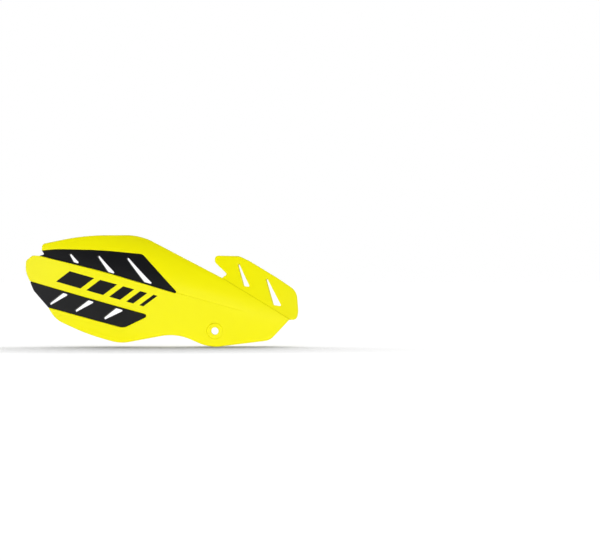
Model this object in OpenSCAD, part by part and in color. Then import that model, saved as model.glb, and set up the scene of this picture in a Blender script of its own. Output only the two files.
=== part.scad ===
// Motocross hand guard: a moulded shell with three outer fingers and a folded-back inner flap,
// and two black vented inserts that fill the windows between the fingers.
// x runs inwards along the panel, y to the rear and z up. The origin is on the bolt hole, at the
// screw seat. Outlines are drawn as seen from the front, anticlockwise, as [x, z, corner radius].

/* [Panel surface] */
// Slope of the panel's long axis, down towards the inner end, in degrees
tilt = 15.5; // [5:0.5:25]
// Distance from the bolt hole outwards to the crown line, where the bend radius changes
crown_out = 60; // [50:1:75]
// Bend radius of the panel on the inner side of the crown line
inner_bend_r = 500; // [400:10:800]
// Bend radius of the outer end, which wraps round the hand
outer_bend_r = 230; // [210:5:400]
// Height of the crease above the bolt hole
crease_h = 25; // [22:0.5:28]
// Angle by which the panel breaks back at the crease, in degrees
crease_angle = 12; // [6:1:16]
// Radius of the roll above the crease
roll_r = 73; // [70:1:110]
// Depth below the bolt hole at which the lower edge starts to curl under
curl_drop = 15; // [12:1:20]
// Radius of the curl along the lower edge
curl_r = 120; // [90:5:300]
// Wall thickness of the shell
wall = 3; // [2.4:0.1:4]

/* [Fingers and windows] */
// Distance from the bolt hole out to the end of the upper finger
upper_finger_out = 183.5; // [180:0.5:190]
// Distance from the bolt hole out to the end of the middle finger
middle_finger_out = 194.7; // [191:0.1:205]
// Distance of the middle finger's upper edge below the crease, at its ends
crease_margin = 1; // [0:0.1:3]
// Rise of that edge at mid length, measured at its corner point
edge_rise = 2.2; // [0:0.1:3]
// Distance from the bolt hole down to the middle finger's lower edge
finger_bottom = 2.1; // [0:0.1:5]
// Distance from the bolt hole down to the lower finger's upper edge
lower_finger_top = 21.3; // [19:0.1:23]

/* [Inserts] */
// Depth of the insert's face behind the shell's face
insert_recess = 0.7; // [0:0.1:1.5]
// Gap all round between the insert and its window
window_gap = 0.15; // [0.05:0.05:0.5]
// Gap between the shell's back and the insert's flange
flange_gap = 0.1; // [0.05:0.05:0.3]
// Thickness of the flange behind the shell
flange_wall = 1.8; // [1:0.1:3]
// Lap of the flange over the back of the shell
flange_lap = 4; // [2:0.5:5]
// Distance that the flange keeps from the outer edge of the panel
flange_rim = 1; // [0.5:0.1:2]

/* [Vents] */
// Angle between the mould pull of the vents and straight back, in degrees
vent_rake = 15; // [0:1:20]
// Height of the upper vents' feet above the middle finger
upper_vent_margin = 3; // [2:0.1:4]
// Depth of the lower vents' feet below the middle finger
lower_vent_margin = 2; // [1.5:0.1:3]
// Lean of the upper vents, in degrees from the long axis
upper_vent_lean = 148; // [140:1:155]
// Lean of the lower vents, in degrees from the long axis
lower_vent_lean = -134; // [-140:1:-125]
// Width across the tip of an upper vent
upper_vent_tip = 2.2; // [1.5:0.1:3]
// Width across the tip of a lower vent
lower_vent_tip = 2.6; // [1.5:0.1:3.2]
// Corner radius at the foot of a vent
vent_corner_r = 0.8; // [0.3:0.1:1.2]

/* [Flap] */
// Step of the flap's face behind the panel's edge along the fold
fold_step = 1.2; // [0.6:0.1:2]
// Lean of the flap to the rear, in degrees
flap_lean = 30; // [20:1:40]
// Bend radius of the flap along the fold
flap_bend_r = 310; // [250:10:600]
// Lap of the flap behind the panel below the fold
flap_lap = 4; // [3:0.5:6]
// Width across the tip of a flap vent
flap_vent_tip = 1.5; // [1:0.1:2.5]
// Lean of the flap vents, in degrees from the fold
flap_vent_lean = 145; // [130:1:150]
// Turn of the flap vents' feet from the fold, in degrees
flap_vent_foot_turn = 27; // [15:1:35]

/* [Mounting] */
// Diameter of the bolt hole
bolt_hole_d = 7; // [5:0.1:9]
// Diameter of the recess for the screw head
screw_seat_d = 15; // [12:0.5:17]
// Depth of the screw seat below the shell's face
screw_seat_depth = 1.2; // [0.8:0.1:1.6]
// Diameter of the boss behind the bolt hole
boss_d = 19; // [16:0.5:24]
// Distance from the screw seat to the back of the boss
boss_l = 12; // [9:0.5:16]
// Thickness of the gussets round the boss
gusset_w = 2.5; // [1.5:0.1:4]
// Reach of the gussets from the hole
gusset_reach = 24; // [18:0.5:26]
// Drop from the back of the boss to the gussets
gusset_drop = 2; // [1:0.5:4]

/* [Hidden] */
$fn = 96;

// Angle covered by one step of a rounded corner
arc_step = 8;
// Share of a vent's tip width by which the corners there are rounded
tip_rounding = 0.45;
// Half length of the raked bars that cut the vents
vent_cut = 25;
// Depth of the bent section behind the face, and its limits below and above the hole
section_depth = 60;
section_low = -50;
section_high = 82;
// Angles turned about the two bend axes, enough to pass the ends of the panel
inner_turn = 20;
outer_turn = 42;
// How far the upper window's cut runs out past the end of the upper finger
run_out = 8;
// Height of the flap's sheet above the fold, and its length past each end, before trimming
flap_stock_h = 40;
flap_stock_end = 20;

middle_finger_top = crease_h - crease_margin;
crown_y = -screw_seat_depth - bulge(inner_bend_r, crown_out);

// Ends of the fold where the flap meets the panel
fold_top = [-7, 50.4];
fold_end = [64.7, 30];

// Open outer ends of the two inserts
upper_insert_end = [[-upper_finger_out + 1.3, crease_h + 4.2, 1.3], [-178.6, crease_h + 1.5, 0.7]];
lower_insert_end = [[-184.5, -finger_bottom - 1.4, 0.4], [-179, -10, 9], [-160.5, -lower_finger_top, 0.6]];

upper_window_corners = [
    [-116, middle_finger_top + edge_rise, 600],
    [-42, middle_finger_top + 0.5, 1.2],
    [-86, 52, 6],
    [-126, 45, 380],
    [-166, 35, 95]
];
lower_window_corners = [
    [-84, -lower_finger_top + 1, 11],
    [-63.5, -finger_bottom, 1.8]
];
upper_insert_corner = [-183, middle_finger_top - 0.2, 0.3];
lower_insert_corner = [-177, -finger_bottom, 6];

panel_outline = concat(
    [
        [fold_end.x, fold_end.y, 0],
        [fold_top.x, fold_top.y, 0],
        [-94, 69, 56],
        [-145.5, 54.5, 247],
        [-upper_finger_out, 35.5, 3.6]
    ],
    upper_insert_end,
    [
        [-183, middle_finger_top - 0.6, 1],
        [-middle_finger_out + 5, middle_finger_top - 1.7, 4],
        [-middle_finger_out, 15.6, 3.3],
        [-middle_finger_out + 2.5, 5.5, 30],
        [-185.3, -finger_bottom, 0]
    ],
    lower_insert_end,
    [
        [-149.5, -30.6, 28],
        [-115, -35.6, 230],
        [-83, -35.4, 38],
        [-34.5, -11.7, 47],
        [-0.5, -16.6, 40],
        [53, 5.3, 13.5]
    ]
);

upper_outline = concat([upper_insert_corner], upper_window_corners, upper_insert_end);
lower_outline = concat(lower_window_corners, [lower_insert_corner], lower_insert_end);

upper_window = concat(
    upper_window_corners,
    [
        line_at(-upper_finger_out - run_out, upper_window_corners[4], upper_insert_end[0]),
        line_at(-upper_finger_out - run_out, upper_window_corners[0], upper_insert_corner)
    ]
);
lower_window = concat(
    lower_window_corners,
    [
        line_at(-middle_finger_out, lower_window_corners[1], lower_insert_corner),
        line_at(-middle_finger_out, lower_window_corners[0], lower_insert_end[2])
    ]
);

flap_outline = [
    [fold_end.x + 0.6, fold_end.y - 1.5, 0],
    [72.1, 30.8, 4.5],
    [72, 38, 20],
    [65, 57.3, 14],
    [43.4, 64.6, 20],
    [14.6, 72.8, 8],
    [3, 75, 8],
    [-19.6, 69.2, 4.2],
    [-18.1, 63, 4.5],
    [-3.2, 55, 2.9],
    [fold_top.x + 0.9, fold_top.y + 1.5, 0.3],
    [fold_top.x - 1.5, fold_top.y - 3 * flap_lap, 0],
    [fold_end.x - 6, fold_end.y - 2.2 * flap_lap, 0]
];

// Vents as [foot position along the panel, foot width, length]
upper_vents = [[-145.3, 8.7, 12.4], [-109.7, 9.4, 22.8], [-73.2, 10, 33.4]];
lower_vents = [[-147.6, 7.2, 19.6], [-121.5, 7.6, 18.9], [-92.9, 9, 17.9]];
// Flap vents as [foot position along the fold, foot height above it, foot width, length]
flap_vents = [[24, 4.8, 5.3, 24.4], [58.3, 4.3, 6.9, 28.7]];

fold = [
    fold_end.x - fold_top.x,
    face_y(fold_end.x, fold_end.y) - face_y(fold_top.x, fold_top.y),
    fold_end.y - fold_top.y
];
fold_l = norm(fold);
fold_slope = atan2(-fold.z, fold.x);
fold_yaw = asin(fold.y / fold_l);
flap_turn = 2 * asin((fold_l / 2 + flap_stock_end) / flap_bend_r);
// The boss starts halfway between the face at its inner side and the back at its outer side
boss_start = (face_y(boss_d / 2, 0) + face_y(-boss_d / 2, 0) + wall) / 2;

// Rise of an arc of radius r at distance x from its crown
function bulge(r, x) = r - sqrt(r * r - x * x);

// Depth of the panel's section behind its flat middle at height z
function face_drop(z) =
    z > crease_h
        ? roll_r * (cos(crease_angle) - sqrt(1 - pow(sin(crease_angle) + (z - crease_h) / roll_r, 2)))
        : z < -curl_drop ? bulge(curl_r, -curl_drop - z) : 0;

// Depth of the shell's face at a point of the front view
function face_y(x, z) =
    let (r = x > -crown_out ? inner_bend_r : outer_bend_r)
    crown_y + r - sqrt(pow(r - face_drop(z), 2) - pow(x + crown_out, 2));

function flat(p) = [p.x, p.y];
function corner(p, r) = [p.x, p.y, r];
function unit(v) = v / norm(v);
// Sharp corner at a given x on the line through a and b
function line_at(x, a, b) = [x, a.y + (b.y - a.y) * (x - a.x) / (b.x - a.x), 0];
function before(list, i) = list[(i + len(list) - 1) % len(list)];
function after(list, i) = list[(i + 1) % len(list)];

// Points along the rounded corner p between its neighbours a and b
function corner_arc(a, p, b) =
    let (
        to_a = unit(flat(a) - flat(p)),
        to_b = unit(flat(b) - flat(p)),
        half = acos(to_a * to_b) / 2,
        room = min(norm(flat(a) - flat(p)), norm(flat(b) - flat(p))) / 2,
        r = min(p.z, room * tan(half)),
        centre = flat(p) + unit(to_a + to_b) * r / sin(half),
        spoke = flat(p) + to_a * r / tan(half) - centre,
        sweep = -sign(cross(to_a, to_b)) * (180 - 2 * half),
        steps = max(2, ceil(abs(sweep) / arc_step))
    )
    [for (k = [0 : steps]) centre + turned(spoke, sweep * k / steps)];
function turned(v, angle) = [v.x * cos(angle) - v.y * sin(angle), v.x * sin(angle) + v.y * cos(angle)];

// Outline with its corners rounded
function rounded(corners) = [
    for (i = [0 : len(corners) - 1])
        each corners[i].z > 0
            ? corner_arc(before(corners, i), corners[i], after(corners, i))
            : [flat(corners[i])]
];

// Outline moved outwards by a distance, or inwards by a negative one
function grown(corners, by) = [
    for (i = [0 : len(corners) - 1])
        grown_corner(before(corners, i), corners[i], after(corners, i), by)
];
function grown_corner(a, p, b, by) =
    let (
        to_a = unit(flat(a) - flat(p)),
        to_b = unit(flat(b) - flat(p)),
        half = acos(to_a * to_b) / 2,
        side = -sign(cross(to_a, to_b)),
        q = flat(p) - side * by * unit(to_a + to_b) / sin(half)
    )
    corner(q, max(0, p.z + side * by));

// Runs its 2-D children from front to back through the panel
module through(front = -30, back = 80) {
    translate([0, back, 0])
        rotate([90, 0, 0])
            linear_extrude(back - front)
                children();
}

// Section of everything that lies deeper than a distance behind the face, as
// [radius from the bend axis, height]
module section_behind(depth, bend_r) {
    back = bend_r - section_depth;
    roll_z = crease_h - roll_r * sin(crease_angle);
    intersection() {
        translate([back, section_low])
            square([section_depth - depth, section_high - section_low]);
        union() {
            translate([bend_r - roll_r * cos(crease_angle), roll_z])
                circle(roll_r - depth);
            translate([back, section_low])
                square([section_depth, roll_z - section_low]);
        }
        union() {
            translate([bend_r - curl_r, -curl_drop])
                circle(curl_r - depth);
            translate([back, -curl_drop])
                square([section_depth, section_high + curl_drop]);
        }
    }
}

module layer_section(front, back, bend_r) {
    difference() {
        section_behind(front, bend_r);
        section_behind(back, bend_r);
    }
}

// The bent sheet between two depths behind the face
module sheet(front, back) {
    translate([-crown_out, crown_y + inner_bend_r, 0])
        rotate_extrude(angle = inner_turn, start = -90, $fn = 360)
            layer_section(front, back, inner_bend_r);
    translate([-crown_out, crown_y + outer_bend_r, 0])
        rotate_extrude(angle = outer_turn, start = -90 - outer_turn, $fn = 360)
            layer_section(front, back, outer_bend_r);
}

module main_panel() {
    intersection() {
        sheet(0, wall);
        through()
            difference() {
                polygon(rounded(panel_outline));
                polygon(rounded(upper_window));
                polygon(rounded(lower_window));
            }
    }
}

// Cuts one tapered vent: its foot is centred here and its tip lies along the lean
module vent(foot_w, tip_w, length, lean, foot_turn = 0) {
    tip = length * [cos(lean), sin(lean)];
    across = tip_w / 2 * [-sin(lean), cos(lean)];
    foot = foot_w / 2 * sign(sin(lean - foot_turn)) * [cos(foot_turn), sin(foot_turn)];
    corners = [
        corner(-foot, vent_corner_r),
        corner(foot, vent_corner_r),
        corner(tip - across, tip_w * tip_rounding),
        corner(tip + across, tip_w * tip_rounding)
    ];
    rotate([0, 0, -vent_rake])
        through(-vent_cut, vent_cut)
            polygon(rounded(corners));
}

module row_of_vents(vents, foot_z, tip_w, lean) {
    for (v = vents)
        translate([v[0], face_y(v[0], foot_z), foot_z])
            vent(v[1], tip_w, v[2], lean);
}

// Frame of the fold: x along it, z up the flap
module at_fold() {
    translate([fold_top.x, face_y(fold_top.x, fold_top.y) + fold_step, fold_top.y])
        rotate([0, fold_slope, 0])
            rotate([0, 0, fold_yaw])
                rotate([-flap_lean, 0, 0])
                    children();
}

module flap_sheet() {
    translate([fold_l / 2, flap_bend_r - bulge(flap_bend_r, fold_l / 2), 0])
        rotate_extrude(angle = flap_turn, start = -90 - flap_turn / 2, $fn = 360)
            translate([flap_bend_r - wall, -flap_lap])
                square([wall, flap_lap + flap_stock_h]);
}

module flap() {
    difference() {
        intersection() {
            at_fold()
                flap_sheet();
            through()
                polygon(rounded(flap_outline));
        }
        at_fold()
            for (v = flap_vents)
                translate([v[0], -bulge(flap_bend_r, fold_l / 2), v[1]])
                    rotate([flap_lean, 0, 0])
                        vent(v[2], flap_vent_tip, v[3], flap_vent_lean, flap_vent_foot_turn);
    }
}

module boss() {
    translate([0, boss_start, 0])
        rotate([-90, 0, 0])
            cylinder(h = boss_l - boss_start, d = boss_d);
}

// Rib from the boss down to the back of the panel, at an angle from the long axis
module gusset(angle) {
    end_y = face_y(gusset_reach * cos(angle), gusset_reach * sin(angle));
    top = boss_l - gusset_drop;
    rotate([0, -angle, 0])
        translate([0, 0, -gusset_w / 2])
            linear_extrude(gusset_w)
                polygon([
                    [0, face_y(0, 0) + wall / 2],
                    [gusset_reach, end_y + wall / 2],
                    [gusset_reach, end_y + wall],
                    [boss_d / 2, top],
                    [0, top]
                ]);
}

module bolt_cut() {
    rotate([90, 0, 0])
        cylinder(h = 4 * boss_l, d = bolt_hole_d, center = true);
    rotate([90, 0, 0])
        cylinder(h = boss_l, d = screw_seat_d);
}

module guard_shell() {
    color("yellow")
        rotate([0, tilt, 0])
            difference() {
                union() {
                    main_panel();
                    flap();
                    boss();
                    for (angle = [0 : 60 : 180])
                        gusset(angle);
                }
                bolt_cut();
            }
}

// Insert plate that fills a window, with a flange behind the shell
module insert_plate(outline, window) {
    flange_front = wall + flange_gap;
    flange_back = flange_front + flange_wall;
    intersection() {
        sheet(insert_recess, flange_back);
        through()
            polygon(rounded(grown(outline, -window_gap)));
    }
    intersection() {
        sheet(flange_front, flange_back);
        through()
            intersection() {
                polygon(rounded(grown(window, flange_lap)));
                polygon(rounded(grown(panel_outline, -flange_rim)));
            }
    }
}

module upper_insert() {
    color("#1c1c20")
        rotate([0, tilt, 0])
            difference() {
                insert_plate(upper_outline, upper_window);
                row_of_vents(
                    upper_vents,
                    middle_finger_top + upper_vent_margin,
                    upper_vent_tip,
                    upper_vent_lean
                );
            }
}

module lower_insert() {
    color("#333338")
        rotate([0, tilt, 0])
            difference() {
                insert_plate(lower_outline, lower_window);
                row_of_vents(
                    lower_vents,
                    -finger_bottom - lower_vent_margin,
                    lower_vent_tip,
                    lower_vent_lean
                );
            }
}

guard_shell();
upper_insert();
lower_insert();
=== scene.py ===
import bmesh
import bpy
import math
import numpy as np
from mathutils import Matrix, Vector
from mathutils.geometry import delaunay_2d_cdt


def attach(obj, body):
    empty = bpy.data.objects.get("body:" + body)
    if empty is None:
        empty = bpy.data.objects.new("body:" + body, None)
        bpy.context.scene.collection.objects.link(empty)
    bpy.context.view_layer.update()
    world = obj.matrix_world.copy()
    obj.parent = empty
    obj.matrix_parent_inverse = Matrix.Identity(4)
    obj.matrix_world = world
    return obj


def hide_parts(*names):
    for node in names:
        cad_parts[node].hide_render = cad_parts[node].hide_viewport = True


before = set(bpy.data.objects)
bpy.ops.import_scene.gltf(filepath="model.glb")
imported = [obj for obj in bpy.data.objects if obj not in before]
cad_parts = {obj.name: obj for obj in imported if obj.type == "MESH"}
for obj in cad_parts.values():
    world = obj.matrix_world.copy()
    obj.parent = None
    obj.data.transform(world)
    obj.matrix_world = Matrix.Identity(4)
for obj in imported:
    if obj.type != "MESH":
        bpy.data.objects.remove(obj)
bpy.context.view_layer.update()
print("stage: frame loaded, nodes", sorted(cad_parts))

# Settings are in millimetres and degrees, and colours in sRGB hex.


def linear(hexColour, alpha=1.0):
    parts = [int(hexColour[i : i + 2], 16) / 255 for i in (1, 3, 5)]
    return [p / 12.92 if p <= 0.04045 else ((p + 0.055) / 1.055) ** 2.4 for p in parts] + [alpha]


def metres(millimetres):
    return millimetres / 1000.0


def perMetre(millimetres):  # the scale of a pattern from the real size of one repeat
    return 1000.0 / millimetres


def addNode(tree, kind, values=None, links=None, **settings):
    node = tree.nodes.new(kind)
    for name, value in settings.items():
        setattr(node, name, value)
    for name, value in (values or {}).items():
        node.inputs[name].default_value = value
    for name, socket in (links or {}).items():
        tree.links.new(socket, node.inputs[name])
    return node


def emptyMaterial(name):
    material = bpy.data.materials.new(name)
    material.use_nodes = True
    material.node_tree.nodes.clear()
    return material, material.node_tree


def addToScene(name, data):
    thing = bpy.data.objects.new(name, data)
    bpy.context.scene.collection.objects.link(thing)
    return thing


# Camera: a long lens far in front, level with the middle of the picture.
photoCamera = {"place": (81.0, -2500.0, 48.5), "lens": 157.9, "sensor": 36.0, "sight": 200.0}


def makeCamera():
    data = bpy.data.cameras.new("photoCamera")
    data.sensor_width = photoCamera["sensor"]
    data.lens = photoCamera["lens"]
    data.clip_end = photoCamera["sight"]  # metres
    camera = addToScene("photoCamera", data)
    camera.location = [metres(value) for value in photoCamera["place"]]
    camera.rotation_euler = (math.radians(90), 0, 0)
    bpy.context.scene.camera = camera


# Floor: matt white paper. The camera sees it as grey paper with light added up to white, so the
# yellow doesn't tint it. The added light is a painted glow, and a painted shadow dims it near the guard.
studioFloor = {
    "height": -14.9,
    "half": 60000.0,  # half its width, so far out that its edges stay out of sight
    "paper": "#F2F2F2",
    "seen": "#888888",
    "lift": 0.88,
    # Each painted shadow scales the added light by the share of sky the guard leaves clear within reach,
    # raised to the depth, seen from the given direction.
    "paintedShadows": ((250, 4.2, (0, 0.87, 0.5)), (45, 1.0, (0, 0, 1))),  # how far, how deep, from where
    "samples": 3,
}


def mattWhitePaper():
    material, tree = emptyMaterial("mattWhitePaper")
    paper = addNode(tree, "ShaderNodeBsdfDiffuse", {"Color": linear(studioFloor["paper"])})
    seen = addNode(tree, "ShaderNodeBsdfDiffuse", {"Color": linear(studioFloor["seen"])})
    level = None
    for reach, depth, source in studioFloor["paintedShadows"]:
        facing = addNode(tree, "ShaderNodeCombineXYZ", dict(zip("XYZ", source)))
        clear = addNode(tree, "ShaderNodeAmbientOcclusion", {"Distance": metres(reach)},
                        {"Normal": facing.outputs[0]}, samples=studioFloor["samples"])
        shade = addNode(tree, "ShaderNodeMath", {1: depth}, {0: clear.outputs["AO"]}, operation="POWER")
        values, links = {}, {0: shade.outputs[0]}
        if level:
            links[1] = level.outputs[0]
        else:
            values[1] = studioFloor["lift"]
        level = addNode(tree, "ShaderNodeMath", values, links, operation="MULTIPLY")
    lift = addNode(tree, "ShaderNodeEmission", None, {"Strength": level.outputs[0]})
    lifted = addNode(tree, "ShaderNodeAddShader", None, {0: seen.outputs[0], 1: lift.outputs[0]})
    ray = addNode(tree, "ShaderNodeLightPath").outputs["Is Camera Ray"]
    shown = addNode(tree, "ShaderNodeMixShader", None, {0: ray, 1: paper.outputs[0], 2: lifted.outputs[0]})
    addNode(tree, "ShaderNodeOutputMaterial", None, {"Surface": shown.outputs[0]})
    return material


def makeFloor():
    z, half = metres(studioFloor["height"]), metres(studioFloor["half"])
    data = bpy.data.meshes.new("studioFloor")
    corners = [(x, y, z) for x, y in ((-half, -half), (half, -half), (half, half), (-half, half))]
    data.from_pydata(corners, [], [(0, 1, 2, 3)])
    data.materials.append(mattWhitePaper())
    floor = addToScene("studioFloor", data)


# Light: pale walls that darken to the ceiling, and four wide suns that no reflection shows. The
# walls ahead are dimmer in reflections than those at the sides, so black faces stay black.
studioLight = {
    "horizon": 0.9,
    "ceiling": 0.17,
    "fade": (0.1, 0.7),  # heights between which one becomes the other, of a world 1 high
    "mirrored": (0.22, 0.9),  # share that reflections show, ahead and at the sides
    "aside": (0.2, 0.8),  # where ahead ends and the sides begin
    "suns": (  # name, bearing from the front, height, width, strength
        ("frontLight", 4, 8, 50, 2.0),
        ("leftLight", -72, 10, 50, 0.85),
        ("rightLight", 60, 15, 50, 0.5),
        ("rearLight", 172, 30, 35, 1.5),
    ),
}


def makeWorld():
    world = bpy.data.worlds.new("studioWorld")
    bpy.context.scene.world = world
    world.use_nodes = True
    tree = world.node_tree
    tree.nodes.clear()
    ray = addNode(tree, "ShaderNodeLightPath")
    place = addNode(tree, "ShaderNodeTexCoord").outputs["Generated"]
    parts = addNode(tree, "ShaderNodeSeparateXYZ", None, {0: place})
    low, high = studioLight["fade"]
    fade = {1: low, 2: high, 3: studioLight["horizon"], 4: studioLight["ceiling"]}
    level = addNode(tree, "ShaderNodeMapRange", fade, {0: parts.outputs["Z"]},
                    interpolation_type="SMOOTHSTEP")
    side = addNode(tree, "ShaderNodeMath", None, {0: parts.outputs["X"]}, operation="ABSOLUTE")
    (low, high), (ahead, aside) = studioLight["aside"], studioLight["mirrored"]
    share = addNode(tree, "ShaderNodeMapRange", {1: low, 2: high, 3: ahead, 4: aside}, {0: side.outputs[0]})
    share = addNode(tree, "ShaderNodeMix", {2: 1.0}, {0: ray.outputs["Is Glossy Ray"], 3: share.outputs[0]})
    level = addNode(tree, "ShaderNodeMath", None, {0: level.outputs[0], 1: share.outputs[0]},
                    operation="MULTIPLY")
    walls = addNode(tree, "ShaderNodeBackground", None, {"Strength": level.outputs[0]})
    white = addNode(tree, "ShaderNodeBackground", {"Color": (1, 1, 1, 1), "Strength": 1.0})
    shown = addNode(tree, "ShaderNodeMixShader", None,
                    {0: ray.outputs["Is Camera Ray"], 1: walls.outputs[0], 2: white.outputs[0]})
    addNode(tree, "ShaderNodeOutputWorld", None, {"Surface": shown.outputs[0]})


def makeSuns():
    for name, bearing, height, width, strength in studioLight["suns"]:
        data = bpy.data.lights.new(name, "SUN")
        data.angle = math.radians(width)
        data.energy = strength
        sun = addToScene(name, data)
        sun.rotation_euler = (math.radians(90 - height), 0, math.radians(bearing))
        sun.visible_glossy = False


# From here on the guard is drawn in its blade frame: u along the long axis, y to the rear and v up.
# A corner is [u, v, rounding radius], and makePiece tilts the finished mesh into place.


def bulge(radius, x):  # how far an arc has dropped at x from its crown
    return radius - np.sqrt(radius * radius - x * x)


def ease(low, high, x):  # 0 below low, 1 above high
    t = np.clip((x - low) / (high - low), 0, 1)
    return t * t * (3 - 2 * t)


def mix(a, b, share):
    return a + (b - a) * share


# Blade: the bent sheet that the shell and both inserts follow.
blade = {
    "tilt": 15.5,  # slope of the long axis
    "crown": -60.0,  # line where the bend radius changes
    "crownDepth": -4.813,  # depth of the face on that line
    "innerBend": 500.0,
    "outerBend": 230.0,
    "crease": 25.0,
    "creaseAngle": 12.0,
    "roll": 73.0,  # radius of the roll above the crease
    "curlFrom": -15.0,
    "curl": 120.0,  # radius of the curl along the lower edge
    "creaseBlend": (0.2, 1.5),  # depth over which the crease is blended, outer and inner part
    "creaseFade": (-20.0, 25.0),  # where it goes from one to the other
    "creaseStep": 0.4,  # the roll starts this far behind the flat face
    "stepFade": (6.0, 28.0),  # where that step fades out along the crease
    "stepHeights": (0.6, 12.0),  # above the crease, where the step is full and where it is gone
    "rows": (-0.95, -0.5, 0, 0.15, 0.3, 0.45, 0.6, 1.1, 2.2),  # mesh rows, above the crease
    "rowSpacing": 1.6,
}


def layer(depth, u, v, blended=True):  # y of the sheet, a given depth behind its face
    crease, roll = blade["crease"], blade["roll"]
    angle = math.radians(blade["creaseAngle"])
    rise = np.clip(v - crease + roll * math.sin(angle), 0, None)
    rolled = roll * math.cos(angle) - np.sqrt((roll - depth) ** 2 - rise**2)
    drop = np.maximum(depth, rolled)
    if blended:
        width = mix(*blade["creaseBlend"], ease(*blade["creaseFade"], u))
        drop = drop + np.clip(width - np.abs(depth - rolled), 0, None) ** 2 / (4 * width)
        full, gone = blade["stepHeights"]
        step = ease(0.0, full, v - crease) * (1 - ease(full, gone, v - crease))
        drop = drop + blade["creaseStep"] * (1 - ease(*blade["stepFade"], u)) * step
    under = np.clip(blade["curlFrom"] - v, 0, None)
    drop = np.where(under > 0, blade["curl"] - np.sqrt((blade["curl"] - depth) ** 2 - under**2), drop)
    bend = np.where(u > blade["crown"], blade["innerBend"], blade["outerBend"])
    return blade["crownDepth"] + bend - np.sqrt((bend - drop) ** 2 - (u - blade["crown"]) ** 2)


def creaseRows(u0, u1):
    us = np.arange(u0, u1, blade["rowSpacing"])
    return [np.stack((us, np.full_like(us, blade["crease"] + above)), 1) for above in blade["rows"]]


# Outlines: closed rows of points, anticlockwise round a piece.
rounding = {"turn": 9, "shortest": 0.03, "least": 0.1}  # degrees a step, and the least length and radius
lot = 1500  # points worked on at once, to save memory


def cornerArc(before, corner, after, along):
    place = np.array(corner[:2], float)
    toBefore, toAfter = np.array(before[:2]) - place, np.array(after[:2]) - place
    room = min(np.linalg.norm(toBefore), np.linalg.norm(toAfter)) / 2
    toBefore, toAfter = toBefore / np.linalg.norm(toBefore), toAfter / np.linalg.norm(toAfter)
    half = math.acos(max(-1, min(1, toBefore @ toAfter))) / 2
    radius = min(corner[2], room * math.tan(half))
    middle = (toBefore + toAfter) / np.linalg.norm(toBefore + toAfter)
    centre = place + middle * radius / math.sin(half)
    spoke = place + toBefore * radius / math.tan(half) - centre
    turn = np.sign(toBefore[0] * toAfter[1] - toBefore[1] * toAfter[0])
    sweep = -turn * (math.pi - 2 * half)
    byTurn, byLength = abs(sweep) / math.radians(rounding["turn"]), abs(sweep) * radius / along
    angles = np.linspace(0, sweep, max(2, math.ceil(byTurn), math.ceil(byLength)) + 1)
    c, s = np.cos(angles), np.sin(angles)
    return centre + np.stack((spoke[0] * c - spoke[1] * s, spoke[0] * s + spoke[1] * c), 1)


def outline(corners, along, fine=()):  # fine holds [u, v, reach, spacing] where points lie closer
    after = corners[1:] + corners[:1]
    before = corners[-1:] + corners[:-1]
    rough = np.concatenate([cornerArc(a, corner, b, along) for a, corner, b in zip(before, corners, after)])
    points = []
    for a, b in zip(rough, np.roll(rough, -1, 0)):
        length = np.linalg.norm(b - a)
        if length < rounding["shortest"]:  # two arcs that meet
            continue
        spacing = along
        for u, v, reach, closer in fine:
            if np.hypot(*((a + b) / 2 - (u, v))) < reach + length / 2:
                spacing = closer
        pieces = math.ceil(length / spacing)
        points += [mix(a, b, k / pieces) for k in range(pieces)]
    return np.array(points)


def grown(corners, by):  # the corners moved outwards, or inwards where by is negative
    result = []
    for i, corner in enumerate(corners):
        place = np.array(corner[:2], float)
        toBefore = np.array(corners[i - 1][:2]) - place
        toAfter = np.array(corners[(i + 1) % len(corners)][:2]) - place
        toBefore, toAfter = toBefore / np.linalg.norm(toBefore), toAfter / np.linalg.norm(toAfter)
        half = math.acos(max(-1, min(1, toBefore @ toAfter))) / 2
        side = -np.sign(toBefore[0] * toAfter[1] - toBefore[1] * toAfter[0])
        middle = (toBefore + toAfter) / np.linalg.norm(toBefore + toAfter)
        place = place - side * by * middle / math.sin(half)
        result.append([place[0], place[1], max(rounding["least"], corner[2] + side * by)])
    return result


def circle(radius, count):
    angles = np.linspace(0, 2 * math.pi, count, endpoint=False)
    return radius * np.stack((np.cos(angles), np.sin(angles)), 1)


def gaps(points, loop):  # distance of each point to a closed row
    along = np.roll(loop, -1, 0) - loop
    size = (along * along).sum(1)
    nearest = np.empty(len(points))
    for k in range(0, len(points), lot):
        away = points[k : k + lot, None] - loop[None]
        t = np.clip((away * along).sum(2) / size, 0, 1)
        nearest[k : k + lot] = np.sqrt(((away - t[..., None] * along) ** 2).sum(2).min(1))
    return nearest


def inside(points, loops):  # a line from such a point crosses the loops an odd number of times
    odd = np.zeros(len(points), bool)
    for loop in loops:
        ahead = np.roll(loop, -1, 0)
        rise = np.where(ahead[:, 1] == loop[:, 1], 1.0, ahead[:, 1] - loop[:, 1])
        for k in range(0, len(points), lot):
            u, v = points[k : k + lot, 0:1], points[k : k + lot, 1:2]
            crosses = (loop[:, 1] > v) != (ahead[:, 1] > v)
            reached = u < loop[:, 0] + (v - loop[:, 1]) * (ahead[:, 0] - loop[:, 0]) / rise
            odd[k : k + lot] ^= (crosses & reached).sum(1) % 2 == 1
    return odd


# Skins: a flat triangle mesh within loops, lifted on to a surface with its edges rounded.
skin = {
    "turns": (0.076, 0.293, 0.617, 1.0),  # shares of an edge's radius where its slope turns by 22.5 degrees
    "ownRoom": 0.97,  # points along an edge stay this share of their distance off that edge
    "otherRoom": 0.9,  # and this share of it off the others
    "lineRoom": (1.03, 0.08),  # rows stay off an edge by its radius times the first, plus the second
    "gridRoom": 0.42,  # shares of its spacing that the grid keeps off the roundings and the rows
    "rowRoom": 0.5,
    "sliver": 0.001,  # twice the area of a triangle that is only rounding error
    "weld": 0.00001,
}


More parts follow.
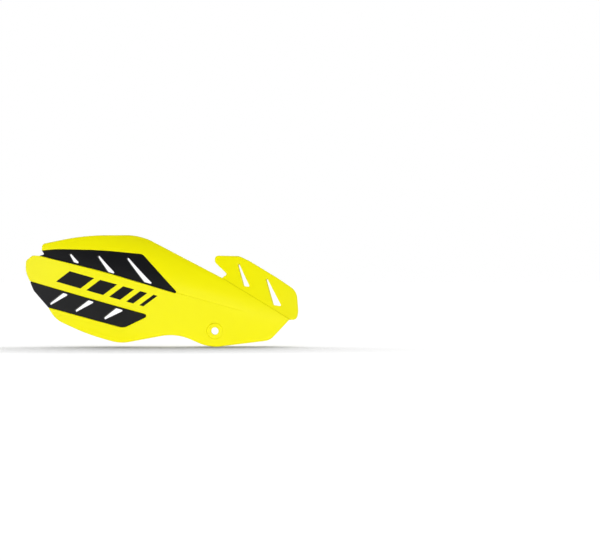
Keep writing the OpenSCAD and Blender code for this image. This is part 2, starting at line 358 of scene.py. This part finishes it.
def linked(good, start, closed):  # links between neighbours that are both kept, numbered from start
    index = (np.cumsum(good) - 1 + start).tolist()
    pairs = [(i, (i + 1) % len(good)) for i in range(len(good) if closed else len(good) - 1)]
    return [(index[i], index[j]) for i, j in pairs if good[i] and good[j]]


def edgeRows(loops, edges, start):  # rows along each rounded edge, and their links
    rows, links = [], []
    for k, (loop, radius) in enumerate(zip(loops, edges)):
        if not radius:
            continue
        ahead = np.roll(loop, -1, 0)
        anticlockwise = (loop[:, 0] * ahead[:, 1] - ahead[:, 0] * loop[:, 1]).sum() > 0
        along = ahead - np.roll(loop, 1, 0)
        inward = np.stack((-along[:, 1], along[:, 0]), 1) / np.linalg.norm(along, axis=1)[:, None]
        if anticlockwise != (k == 0):
            inward = -inward
        for share in skin["turns"]:
            row = loop + inward * radius * share
            near = np.array([gaps(row, other) for other in loops]) / (radius * share)
            good = (near[k] > skin["ownRoom"]) & (near.min(0) > skin["otherRoom"]) & inside(row, loops)
            rows.append(row[good])
            links += linked(good, start, True)
            start += int(good.sum())
    return rows, links


def rowsWithin(loops, edges, rows, start):  # the parts of each row off the edges, and their links
    kept, links = [], []
    times, plus = skin["lineRoom"]
    room = np.array(edges)[:, None] * times + plus
    for row in rows:
        near = np.array([gaps(row, loop) for loop in loops])
        good = (near > room).all(0) & inside(row, loops)
        kept.append(row[good])
        links += linked(good, start, False)
        start += int(good.sum())
    return kept, links


def gridWithin(loops, edges, spacing, rows):
    low, high = loops[0].min(0), loops[0].max(0)
    grid = []
    for i, v in enumerate(np.arange(low[1], high[1], spacing * math.sqrt(3) / 2)):
        us = np.arange(low[0] + spacing / 2 * (i % 2), high[0], spacing)
        grid.append(np.stack((us, np.full_like(us, v)), 1))
    grid = np.concatenate(grid)
    near = np.array([gaps(grid, loop) for loop in loops])
    good = (near > np.array(edges)[:, None] + spacing * skin["gridRoom"]).all(0)
    grid = grid[good & inside(grid, loops)]
    placed = np.array([point for row in rows for point in row])
    if len(placed):
        clear = [np.hypot(*(placed - point).T).min() > spacing * skin["rowRoom"] for point in grid]
        grid = grid[np.array(clear, bool)]
    return grid


def facesWithin(points, faces, loops, rims):  # keeps the regions between the rims that lie inside
    owner = list(range(len(faces)))

    def region(k):
        while owner[k] != k:
            owner[k] = owner[owner[k]]
            k = owner[k]
        return k

    seen = {}
    for k, (a, b, c) in enumerate(faces.tolist()):
        for side in ((a, b), (b, c), (c, a)):
            side = (min(side), max(side))
            if side in rims:
                continue
            if side in seen:
                owner[region(k)] = region(seen[side])
            seen[side] = k
    regions = np.array([region(k) for k in range(len(faces))])
    a, b, c = (points[faces[:, i]] for i in range(3))
    size = np.abs((b - a)[:, 0] * (c - a)[:, 1] - (b - a)[:, 1] * (c - a)[:, 0])
    kept = np.zeros(len(faces), bool)
    for name in np.unique(regions):
        members = np.flatnonzero(regions == name)
        largest = members[size[members].argmax()]
        middle = points[faces[largest]].mean(0)[None]
        kept[members] = size[largest] > skin["sliver"] and inside(middle, loops)[0]
    return faces[kept]


def newMesh():
    return {"points": [], "faces": [], "count": 0}


def addSkin(mesh, loops, height, side, edges, spacing, rows=()):  # side is 1 on the front, -1 behind
    starts, links = [0], []
    for loop in loops:
        count = len(loop)
        links += [(starts[-1] + i, starts[-1] + (i + 1) % count) for i in range(count)]
        starts.append(starts[-1] + count)
    beside, edgeLinks = edgeRows(loops, edges, starts[-1])
    rows, rowLinks = rowsWithin(loops, edges, rows, starts[-1] + sum(len(row) for row in beside))
    points = [*loops, *beside, *rows, gridWithin(loops, edges, spacing, rows)]
    flat = [Vector(point) for point in np.concatenate(points).tolist()]
    found = delaunay_2d_cdt(flat, links + edgeLinks + rowLinks, [], 0, skin["weld"])
    placed = np.array([point[:] for point in found[0]])
    where = {source: k for k, sources in enumerate(found[3]) for source in sources}
    rounds = [[where[i] for i in range(a, b)] for a, b in zip(starts, starts[1:])]
    rims = {(min(a, b), max(a, b)) for walk in rounds for a, b in zip(walk, walk[1:] + walk[:1])}
    faces = facesWithin(placed, np.array(found[2]), loops, rims)
    y = height(placed[:, 0], placed[:, 1])
    for loop, radius in zip(loops, edges):
        if radius:
            y = y + side * bulge(radius, np.clip(radius - gaps(placed, loop), 0, radius))
    base = mesh["count"]
    mesh["points"].append(np.stack((placed[:, 0], y, placed[:, 1]), 1))
    mesh["faces"] += (faces + base).tolist()
    mesh["count"] += len(placed)
    return [[base + k for k in walk] for walk in rounds]


def addWall(mesh, front, back):  # between two loops with the same number of points
    for i in range(len(front)):
        j = (i + 1) % len(front)
        mesh["faces"].append([front[i], front[j], back[j], back[i]])


# Vents: slots that widen from tip to foot and pass through at a slant.
vent = {
    "rake": 15.0,  # slant through the inserts
    "flapRake": 24.0,  # and through the flap
    "cornerR": 0.8,
    "tipShare": 0.45,  # rounding of the tip as a share of its width
    "edge": 0.25,
    "along": 0.8,  # spacing of the mesh
    "rounds": 14,  # steps in which a slot's edge is found on a surface
}


def ventCorners(foot, tip, length, lean, footTurn=0.0):
    lean, footTurn = math.radians(lean), math.radians(footTurn)
    end = length * np.array((math.cos(lean), math.sin(lean)))
    across = tip / 2 * np.array((-math.sin(lean), math.cos(lean)))
    side = foot / 2 * np.array((math.cos(footTurn), math.sin(footTurn)))
    side = side * np.sign(math.sin(lean - footTurn))
    tipR = tip * vent["tipShare"]
    places = ((-side, vent["cornerR"]), (side, vent["cornerR"]), (end - across, tipR), (end + across, tipR))
    return [[place[0], place[1], radius] for place, radius in places]


def rakedAxes(rake, turn=np.eye(3)):
    c, s = math.cos(math.radians(rake)), math.sin(math.radians(rake))
    return [turn @ np.array(axis) for axis in ((c, -s, 0), (s, c, 0), (0, 0, 1))]


def tunnel(corners, origin, axes, surface):  # the loop where a raked slot meets a surface
    flat = outline(corners, vent["along"])
    across, along, up = axes
    base = origin + flat[:, :1] * across + flat[:, 1:] * up
    reach = np.zeros(len(flat))
    for _ in range(vent["rounds"]):
        at = base + reach[:, None] * along
        reach = reach + (surface(at[:, 0], at[:, 2]) - at[:, 1]) / along[1]
    return (base + reach[:, None] * along)[:, (0, 2)]


# Windows: the gaps between the shell's three fingers, open to the outer end.
upperWindow = [[-116, 26.2, 600], [-42, 24.5, 1.2], [-86, 52, 6], [-126, 45, 380], [-166, 35, 95]]
lowerWindow = [[-84, -20.3, 11], [-63.5, -2.1, 1.8]]

# Shell: one moulding with its boss and ribs behind the bolt hole, and the flap folded back.
shell = {
    "wall": 3.0,
    "edge": 0.9,  # rounding of the edges that show
    "backEdge": 0.5,
    "spacing": 2.4,  # of the mesh on the open face
    "along": 1.1,  # of the mesh along an edge
    "seatR": 7.5,  # recess for the screw head
    "seatSoft": 0.45,
    "boreR": 3.5,
    "boreEdge": 0.3,
    "bossR": 9.5,
    "bossEnd": 12.0,
    "bossStep": 0.12,  # width of the rise from the ribs to the boss
    "bossTurn": 7,  # degrees between mesh points round it
    "ribHalf": 1.25,
    "ribFoot": 24.0,  # where a rib's top meets the back of the panel
    "ribEnd": 22.8,
    "ribTop": 10.0,
    "ribAngles": (0, 60, 120, 180),
    "ribEdge": 0.3,
    "ribPoints": 14,  # mesh points along a rib
    "ribSpacing": 1.5,
    "draft": 0.15,
    "borePoints": 48,
    "seatPoints": 56,
    "bossPoints": 96,
    "softRows": (-1, -0.66, -0.33, 0, 0.33, 0.66, 1),  # mesh rows across a soft step
    "creaseRows": (-193, 66),  # from and to
    "corners": (
        [[-6.1, 51.9, 0.4], [-7, 50.4, 0.4], [-94, 69, 56], [-145.5, 54.5, 247], [-183.5, 35.5, 3.6]]
        + [[-182.2, 29.2, 0.6]]
        + upperWindow[::-1]
        + [[-183, 23.8, 1], [-189.7, 22.3, 4], [-194.7, 15.6, 3.3], [-192.2, 5.5, 30], [-185.3, -2.1, 0.6]]
        + lowerWindow[::-1]
        + [[-160.5, -21.3, 0.6], [-149.5, -30.6, 28], [-115, -35.6, 230], [-83, -35.4, 38]]
        + [[-34.5, -11.7, 47], [-0.5, -16.6, 40], [53, 5.3, 13.5], [65.3, 28.8, 0.8], [72.1, 30.8, 4.5]]
        + [[72, 38, 20], [65, 57.3, 14], [43.4, 64.6, 20], [14.6, 72.8, 8], [3, 75, 8]]
        + [[-19.6, 69.2, 4.2], [-18.1, 63, 4.5], [-3.2, 55, 2.9]]
    ),
}

flap = {
    "top": (-7.0, 50.4),  # ends of the fold
    "end": (64.7, 30.0),
    "step": 1.2,  # how far the flap starts behind the panel
    "stepSoft": 0.55,
    "backRows": (-3.2, -2.2, -1.2, -0.2, 0.8),  # mesh rows on the back, from the fold's start to its end
    "lean": 30.0,
    "bend": 310.0,
    "bendReach": 290.0,  # the bend isn't worked out further across than this
    "vents": ((24, 4.8, 5.3, 24.4), (58.3, 4.3, 6.9, 28.7)),  # along, above the fold, foot, length
    "tip": 1.5,
    "ventLean": 145,
    "ventFoot": 27,
    "cornerSpacing": 0.25,  # of the mesh at the ends of the fold, out to topReach and endReach
    "topReach": 2.0,
    "endReach": 2.2,
    "rowOverrun": 14.0,
    "rowSpacing": 1.3,
    "rounds": 8,  # steps in which a point is found on the flap
}


def flapFrame():
    top, end = (Vector((u, float(layer(0.0, u, v, False)), v)) for u, v in (flap["top"], flap["end"]))
    fold = end - top
    turn = Matrix.Rotation(math.atan2(-fold.z, fold.x), 3, "Y")
    turn = turn @ Matrix.Rotation(math.asin(fold.y / fold.length), 3, "Z")
    lean = turn @ Matrix.Rotation(math.radians(-flap["lean"]), 3, "X")
    origin = np.array(top) + np.array((0, flap["step"], 0))
    return origin, np.array(turn), np.array(lean), fold.length


flapOrigin, flapTurn, flapAxes, foldLength = flapFrame()
foldAlong = np.array(flap["end"]) - np.array(flap["top"])
foldAlong = foldAlong / np.linalg.norm(foldAlong)
foldUp = np.array((-foldAlong[1], foldAlong[0]))


def aboveFold(u, v):
    return (u - flap["top"][0]) * foldUp[0] + (v - flap["top"][1]) * foldUp[1]


def foldRow(above):
    start = np.array(flap["top"]) + foldUp * above
    steps = np.arange(-flap["rowOverrun"], foldLength + flap["rowOverrun"], flap["rowSpacing"])
    return start + steps[:, None] * foldAlong


def flapLayer(depth, u, v):  # y of the flap, found by turning each point into the flap's own axes
    axes, half = flapAxes, foldLength / 2
    solve = np.linalg.inv(axes[np.ix_((0, 2), (0, 2))])
    du, dv = u - flapOrigin[0], v - flapOrigin[2]
    y = np.zeros_like(du)
    for _ in range(flap["rounds"]):
        s = solve[0, 0] * (du - axes[0, 1] * y) + solve[0, 1] * (dv - axes[2, 1] * y)
        t = solve[1, 0] * (du - axes[0, 1] * y) + solve[1, 1] * (dv - axes[2, 1] * y)
        across = np.clip(s - half, -flap["bendReach"], flap["bendReach"])
        y = flap["bend"] - bulge(flap["bend"], half) - np.sqrt((flap["bend"] - depth) ** 2 - across**2)
    return flapOrigin[1] + axes[1, 0] * s + axes[1, 1] * y + axes[1, 2] * t


def shellFront(u, v):
    soft = shell["seatSoft"]
    panel = layer(0.0, u, v) * ease(shell["seatR"] - soft, shell["seatR"] + soft, np.hypot(u, v))
    return mix(panel, flapLayer(0.0, u, v), ease(-flap["stepSoft"], flap["stepSoft"], aboveFold(u, v)))


def shellBack(u, v):
    panel, rows = layer(shell["wall"], u, v), flap["backRows"]
    return mix(panel, flapLayer(shell["wall"], u, v), ease(rows[0], rows[-1], aboveFold(u, v)))


def supportTop(u, v):  # rear end of the boss and the sloping tops of its ribs
    reach, bearing = np.hypot(u, v), np.arctan2(v, u)
    top = np.full_like(reach, shell["bossEnd"])
    nearest = np.full_like(reach, math.pi)
    for angle in np.radians(shell["ribAngles"]):
        footU, footV = shell["ribFoot"] * math.cos(angle), shell["ribFoot"] * math.sin(angle)
        foot = float(layer(shell["wall"], footU, footV))
        slope = (reach - shell["bossR"]) / (shell["ribFoot"] - shell["bossR"])
        off = np.abs(np.angle(np.exp(1j * (bearing - angle))))
        top = np.where(off < nearest, mix(shell["ribTop"], foot, slope), top)
        nearest = np.minimum(off, nearest)
    return np.where(reach < shell["bossR"] + shell["bossStep"] / 2, shell["bossEnd"], top)


def supportOutline(inset):  # boss with its ribs, seen from the front
    radius, half, end = shell["bossR"] - inset, shell["ribHalf"] - inset, shell["ribEnd"] - inset
    spread = math.asin(shell["ribHalf"] / shell["bossR"])
    angles = np.radians(shell["ribAngles"])
    points = []
    for angle, following in zip(angles, np.append(angles[1:], angles[0] + 2 * math.pi)):
        out = np.array((math.cos(angle), math.sin(angle)))
        left = np.array((-out[1], out[0]))
        steps = np.linspace(math.sqrt(radius * radius - half * half), end, shell["ribPoints"])
        points += [out * reach - left * half for reach in steps]
        points += [out * end]
        points += [out * reach + left * half for reach in steps[::-1]]
        count = 2 + round((following - angle) / math.radians(shell["bossTurn"]))
        arc = np.linspace(angle + spread, following - spread, count)
        points += [radius * np.array((math.cos(a), math.sin(a))) for a in arc[1:-1]]
    return np.array(points)


def buildShell():
    mesh = newMesh()
    fine = [(*flap["top"], flap["topReach"], flap["cornerSpacing"])]
    fine += [(*flap["end"], flap["endReach"], flap["cornerSpacing"])]
    edge = outline(shell["corners"], shell["along"], fine)
    bore = circle(shell["boreR"], shell["borePoints"])
    fronts, backs = [], []
    for along, above, foot, length in flap["vents"]:
        corners = ventCorners(foot, flap["tip"], length, flap["ventLean"], flap["ventFoot"])
        place = flapOrigin + flapAxes @ np.array((along, -bulge(flap["bend"], foldLength / 2), above))
        axes = rakedAxes(vent["flapRake"], flapTurn)
        fronts.append(tunnel(corners, place, axes, shellFront))
        backs.append(tunnel(corners, place, axes, shellBack))
    slots = [vent["edge"]] * len(fronts)
    rows = creaseRows(*shell["creaseRows"])
    rows += [foldRow(step * flap["stepSoft"]) for step in shell["softRows"]]
    for step in shell["softRows"]:
        seat = circle(shell["seatR"] + step * shell["seatSoft"], shell["seatPoints"])
        rows.append(np.concatenate((seat, seat[:1])))
    front = addSkin(mesh, [edge, bore] + fronts, shellFront, 1,
                    [shell["edge"], shell["boreEdge"]] + slots, shell["spacing"], rows)
    foot, top = supportOutline(0), supportOutline(shell["draft"])
    rows = [foldRow(above) for above in flap["backRows"]]
    back = addSkin(mesh, [edge, foot] + backs, shellBack, -1,
                   [shell["backEdge"], 0] + slots, shell["spacing"], rows)
    rows = [circle(shell["bossR"] + away, shell["bossPoints"]) for away in (0.0, shell["bossStep"])]
    rear = addSkin(mesh, [top, bore], supportTop, -1, [shell["ribEdge"]] * 2, shell["ribSpacing"], rows)
    addWall(mesh, front[0], back[0])
    addWall(mesh, front[1], rear[1])
    addWall(mesh, rear[0], back[1])
    for a, b in zip(front[2:], back[2:]):
        addWall(mesh, a, b)
    return mesh


# Inserts: a plate that fills its window, on a flange that laps behind the shell.
insert = {
    "recess": 0.7,
    "gap": 0.15,  # between the plate and its window
    "flangeFront": 3.1,
    "back": 4.9,
    "edge": 0.5,
    "backEdge": 0.4,
    "spacing": 2.4,
    "along": 1.1,
    "creaseRows": (-193, 0),
}

upperInsert = {
    "plate": [[-183, 23.8, 0.3]] + upperWindow + [[-182.2, 29.2, 1.3], [-178.6, 26.5, 0.7]],
    "flange": [[-116, 22.2, 596], [-27.5, 20.2, 5.2], [-85.2, 56.2, 10], [-126.8, 48.9, 384]]
    + [[-167.2, 38.8, 99], [-182.1, 33.5, 0.3], [-182.1, 29.2, 0.5], [-178.5, 26.5, 0.75]]
    + [[-184.4, 22.9, 0.3], [-189.1, 21.4, 2], [-190.5, 19.5, 0.3]],
    "vents": ((-145.3, 8.7, 12.4), (-109.7, 9.4, 22.8), (-73.2, 10, 33.4)),  # foot, its width, length
    "foot": 27.0,
    "tip": 2.2,
    "lean": 148,
}

lowerInsert = {
    "plate": lowerWindow + [[-177, -2.1, 6], [-184.5, -3.5, 0.4], [-179, -10, 9], [-160.5, -21.3, 0.6]],
    "flange": [[-82.5, -24.3, 15], [-53, 1.9, 5.8], [-187.6, 1.9, 0.3], [-184.5, -1.5, 0.5]]
    + [[-184.4, -3.55, 0.35], [-178.96, -9.96, 8.95], [-160.5, -21.25, 0.55], [-154.3, -25.2, 0.5]],
    "vents": ((-147.6, 7.2, 19.6), (-121.5, 7.6, 18.9), (-92.9, 9, 17.9)),
    "foot": -4.1,
    "tip": 2.6,
    "lean": -134,
}


def buildInsert(part):
    mesh = newMesh()
    plate = outline(grown(part["plate"], -insert["gap"]), insert["along"])
    flange = outline(part["flange"], insert["along"])

    def at(depth):
        return lambda u, v: layer(depth, u, v)

    fronts, backs = [], []
    for u, foot, length in part["vents"]:
        corners = ventCorners(foot, part["tip"], length, part["lean"])
        place = np.array((u, float(layer(0.0, u, part["foot"], False)), part["foot"]))
        fronts.append(tunnel(corners, place, rakedAxes(vent["rake"]), at(insert["recess"])))
        backs.append(tunnel(corners, place, rakedAxes(vent["rake"]), at(insert["back"])))
    slots = [vent["edge"]] * len(fronts)
    rows = creaseRows(*insert["creaseRows"])
    front = addSkin(mesh, [plate] + fronts, at(insert["recess"]), 1,
                    [insert["edge"]] + slots, insert["spacing"], rows)
    ledge = addSkin(mesh, [flange, plate], at(insert["flangeFront"]), 1, [0, 0], insert["spacing"])
    back = addSkin(mesh, [flange] + backs, at(insert["back"]), -1,
                   [insert["backEdge"]] + slots, insert["spacing"], rows)
    addWall(mesh, front[0], ledge[1])
    addWall(mesh, ledge[0], back[0])
    for a, b in zip(front[1:], back[1:]):
        addWall(mesh, a, b)
    return mesh


# Shell: polypropylene, injection moulded and coloured right through. A finely spark-eroded tool
# leaves a satin gloss with a slight swim in the reflections, and its grain only shows up close.
yellowShell = {
    "colour": "#F8F300",
    "deeper": "#F5ED00",
    "drift": 38.0,  # mm over which the colour and the gloss wander
    "ior": 1.49,
    "specular": 0.3,
    "roughness": (0.30, 0.39),
    "swim": 9.0,  # mm between the waves that shrinkage leaves
    "swimDepth": 0.12,
    "swimShare": 0.4,
    "finish": 0.45,  # mm grain that the tool leaves, drawn coarser than the real 0.1 mm to show
    "finishDepth": 0.02,
    "finishShare": 0.5,
    "bars": ((-163, 25), (-132, 17), (-109, 11), (-92, 7), (-79, 4)),  # printed bars: start and width
    "barHeight": 11.2,  # of their middle
    "barHalf": 6.6,
    "barSlant": 38.0,
    "ink": "#141416",
    "inkFacing": -0.5,  # only faces that look more to the front than this are printed
}


def printedBars(tree, place):  # 1 on the slanted bars on the middle finger, 0 elsewhere
    look = yellowShell
    turned = addNode(tree, "ShaderNodeVectorRotate", {"Angle": math.radians(-blade["tilt"])},
                     {"Vector": place}, rotation_type="Y_AXIS")
    parts = addNode(tree, "ShaderNodeSeparateXYZ", None, {0: turned.outputs[0]})
    slant = addNode(tree, "ShaderNodeMath", {1: -math.tan(math.radians(look["barSlant"]))},
                    {0: parts.outputs["Z"], 2: parts.outputs["X"]}, operation="MULTIPLY_ADD")
    band = addNode(tree, "ShaderNodeMath", {1: metres(look["barHeight"]), 2: metres(look["barHalf"])},
                   {0: parts.outputs["Z"]}, operation="COMPARE")
    normal = addNode(tree, "ShaderNodeTexCoord").outputs["Normal"]
    facing = addNode(tree, "ShaderNodeSeparateXYZ", None, {0: normal})
    front = addNode(tree, "ShaderNodeMath", {1: look["inkFacing"]}, {0: facing.outputs["Y"]},
                    operation="LESS_THAN")
    mask = addNode(tree, "ShaderNodeMath", None, {0: front.outputs[0], 1: band.outputs[0]},
                   operation="MULTIPLY")
    bars = None
    for start, width in look["bars"]:
        bar = addNode(tree, "ShaderNodeMath", {1: metres(start + width / 2), 2: metres(width / 2)},
                      {0: slant.outputs[0]}, operation="COMPARE")
        if bars:
            bar = addNode(tree, "ShaderNodeMath", None, {0: bars.outputs[0], 1: bar.outputs[0]},
                          operation="MAXIMUM")
        bars = bar
    mask = addNode(tree, "ShaderNodeMath", None, {0: mask.outputs[0], 1: bars.outputs[0]},
                   operation="MULTIPLY")
    return mask.outputs[0]


def mouldedYellowPolypropylene():
    look = yellowShell
    material, tree = emptyMaterial("mouldedYellowPolypropylene")
    place = addNode(tree, "ShaderNodeTexCoord").outputs["Object"]
    drift = addNode(tree, "ShaderNodeTexNoise", {"Scale": perMetre(look["drift"]), "Detail": 2.0},
                    {"Vector": place})
    colour = addNode(tree, "ShaderNodeMix", {6: linear(look["colour"]), 7: linear(look["deeper"])},
                     {0: drift.outputs["Fac"]}, data_type="RGBA")
    printed = addNode(tree, "ShaderNodeMix", {7: linear(look["ink"])},
                      {0: printedBars(tree, place), 6: colour.outputs[2]}, data_type="RGBA")
    swim = addNode(tree, "ShaderNodeTexNoise", {"Scale": perMetre(look["swim"]), "Detail": 1.0},
                   {"Vector": place})
    grain = addNode(tree, "ShaderNodeTexNoise", {"Scale": perMetre(look["finish"]), "Detail": 2.0},
                    {"Vector": place})
    waves = addNode(tree, "ShaderNodeBump",
                    {"Strength": look["swimShare"], "Distance": metres(look["swimDepth"])},
                    {"Height": swim.outputs["Fac"]})
    bump = addNode(tree, "ShaderNodeBump",
                   {"Strength": look["finishShare"], "Distance": metres(look["finishDepth"])},
                   {"Height": grain.outputs["Fac"], "Normal": waves.outputs["Normal"]})
    smooth, rough = look["roughness"]
    gloss = addNode(tree, "ShaderNodeMapRange", {3: smooth, 4: rough}, {0: drift.outputs["Fac"]})
    surface = addNode(tree, "ShaderNodeBsdfPrincipled",
                      {"IOR": look["ior"], "Specular IOR Level": look["specular"]},
                      {"Base Color": printed.outputs[2], "Roughness": gloss.outputs[0],
                       "Normal": bump.outputs["Normal"]})
    addNode(tree, "ShaderNodeOutputMaterial", None, {"Surface": surface.outputs[0]})
    return material


# Inserts: black filled polypropylene, moulded against an etched tool. The fine grain spreads the
# light, so the face is a soft dark grey where it mirrors a bright wall and black where it doesn't.
blackInsert = {
    "colour": "#0F0F11",
    "paler": "#151518",
    "drift": 22.0,  # mm over which the colour and the gloss wander
    "ior": 1.49,
    "roughness": (0.37, 0.48),
    "grain": 0.5,  # mm between the pits of the etching, a coarse one so that it shows
    "grainDepth": 0.07,
    "grainShare": 0.7,
}


def etchedBlackPolypropylene():
    look = blackInsert
    material, tree = emptyMaterial("etchedBlackPolypropylene")
    place = addNode(tree, "ShaderNodeTexCoord").outputs["Object"]
    drift = addNode(tree, "ShaderNodeTexNoise", {"Scale": perMetre(look["drift"]), "Detail": 2.0},
                    {"Vector": place})
    colour = addNode(tree, "ShaderNodeMix", {6: linear(look["colour"]), 7: linear(look["paler"])},
                     {0: drift.outputs["Fac"]}, data_type="RGBA")
    grain = addNode(tree, "ShaderNodeTexVoronoi", {"Scale": perMetre(look["grain"])}, {"Vector": place})
    bump = addNode(tree, "ShaderNodeBump",
                   {"Strength": look["grainShare"], "Distance": metres(look["grainDepth"])},
                   {"Height": grain.outputs["Distance"]})
    smooth, rough = look["roughness"]
    gloss = addNode(tree, "ShaderNodeMapRange", {3: smooth, 4: rough}, {0: drift.outputs["Fac"]})
    surface = addNode(tree, "ShaderNodeBsdfPrincipled", {"IOR": look["ior"]},
                      {"Base Color": colour.outputs[2], "Roughness": gloss.outputs[0],
                       "Normal": bump.outputs["Normal"]})
    addNode(tree, "ShaderNodeOutputMaterial", None, {"Surface": surface.outputs[0]})
    return material


sharpFrom = 40  # degrees between two faces, from which their edge stays sharp


def makePiece(name, mesh, node, material):
    points = metres(np.concatenate(mesh["points"]))
    c, s = math.cos(math.radians(blade["tilt"])), math.sin(math.radians(blade["tilt"]))
    tilted = (c * points[:, 0] + s * points[:, 2], points[:, 1], c * points[:, 2] - s * points[:, 0])
    data = bpy.data.meshes.new(name)
    data.from_pydata(np.stack(tilted, 1).tolist(), [], mesh["faces"])
    work = bmesh.new()
    work.from_mesh(data)
    bmesh.ops.delete(work, geom=[point for point in work.verts if not point.link_faces], context="VERTS")
    bmesh.ops.recalc_face_normals(work, faces=work.faces)
    openEdges = sum(len(edge.link_faces) != 2 for edge in work.edges)
    for face in work.faces:
        face.smooth = True
    for edge in work.edges:
        edge.smooth = len(edge.link_faces) == 2 and edge.calc_face_angle() < math.radians(sharpFrom)
    work.to_mesh(data)
    work.free()
    data.materials.append(material)
    piece = addToScene(name, data)
    weighted = piece.modifiers.new("faceWeighted", "WEIGHTED_NORMAL")
    weighted.weight = 100
    weighted.keep_sharp = True
    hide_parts(node)
    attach(piece, "root")
    print("stage:", name, len(data.polygons), "faces, open edges", openEdges)


makeCamera()
makeFloor()
makeWorld()
makeSuns()
bpy.context.scene.view_settings.view_transform = "Standard"
print("stage: studio")

yellow, black = mouldedYellowPolypropylene(), etchedBlackPolypropylene()
print("stage: materials")

makePiece("mouldedShell", buildShell(), "guard_shell", yellow)
makePiece("upperVentPanel", buildInsert(upperInsert), "upper_insert", black)
makePiece("lowerVentPanel", buildInsert(lowerInsert), "lower_insert", black)
